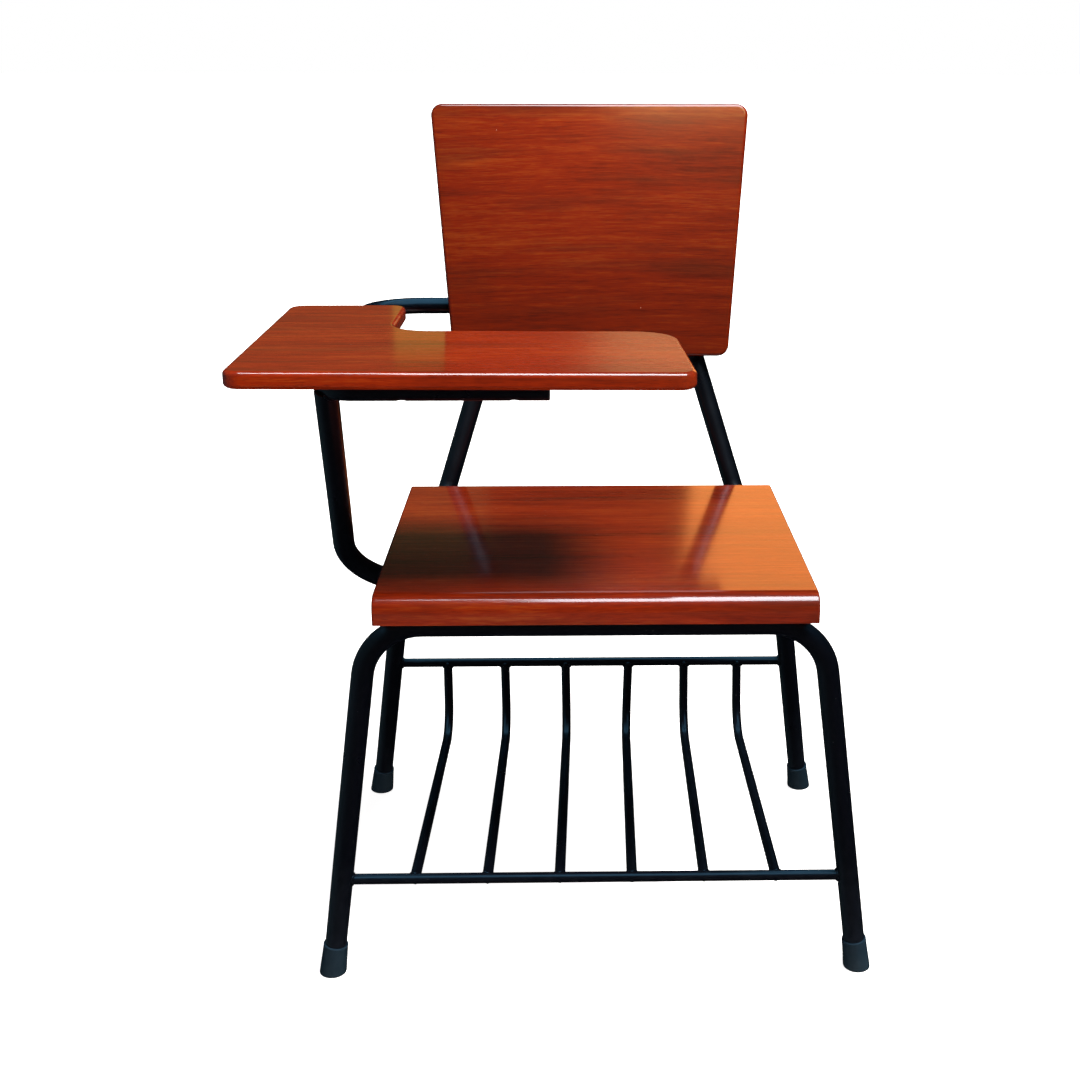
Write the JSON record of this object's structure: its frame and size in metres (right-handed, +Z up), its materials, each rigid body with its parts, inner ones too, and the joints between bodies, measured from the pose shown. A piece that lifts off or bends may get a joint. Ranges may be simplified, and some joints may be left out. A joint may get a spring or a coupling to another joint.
{
  "type": "school chair with writing tablet",
  "caption": "Classroom chair with bent steel tube legs, varnished wooden seat, backrest and fixed L-shaped writing tablet, and a rod basket for books under the seat.",
  "frame": {"origin": "on the floor under the middle of the chair's overall box", "axes": "+Z up, +Y from the front edge towards the back, +X to the right as seen from the front; the writing tablet is on the -X side"},
  "size_m": [0.6166, 0.5714, 0.8604],
  "materials": {
    "mahogany_varnish": "red mahogany grain under high gloss varnish",
    "black_powder_coat": "satin black powder coat on steel tube and rod",
    "black_rubber": "matt dark grey moulded rubber",
    "black_plastic": "moulded black plastic",
    "screw_steel": "zinc plated steel"
  },
  "bodies": {
    "root": {"seat_board": "mahogany_varnish", "backrest_board": "mahogany_varnish", "writing_tablet": "mahogany_varnish", "front_leg_frame": "black_powder_coat", "rear_leg_frame": "black_powder_coat", "back_frame": "black_powder_coat", "arm_post": "black_powder_coat", "tablet_support_tube": "black_powder_coat", "tablet_support_plug": "black_plastic", "basket_front_rail": "black_powder_coat", "basket_rear_rail": "black_powder_coat", "basket_rod_1": "black_powder_coat", "basket_rod_2": "black_powder_coat", "basket_rod_3": "black_powder_coat", "basket_rod_4": "black_powder_coat", "basket_rod_5": "black_powder_coat", "basket_rod_6": "black_powder_coat", "foot_cap_front_left": "black_rubber", "foot_cap_front_right": "black_rubber", "foot_cap_rear_left": "black_rubber", "foot_cap_rear_right": "black_rubber", "seat_screws": "screw_steel", "backrest_screws": "screw_steel", "tablet_screws": "screw_steel"}
  },
  "joints": []
}
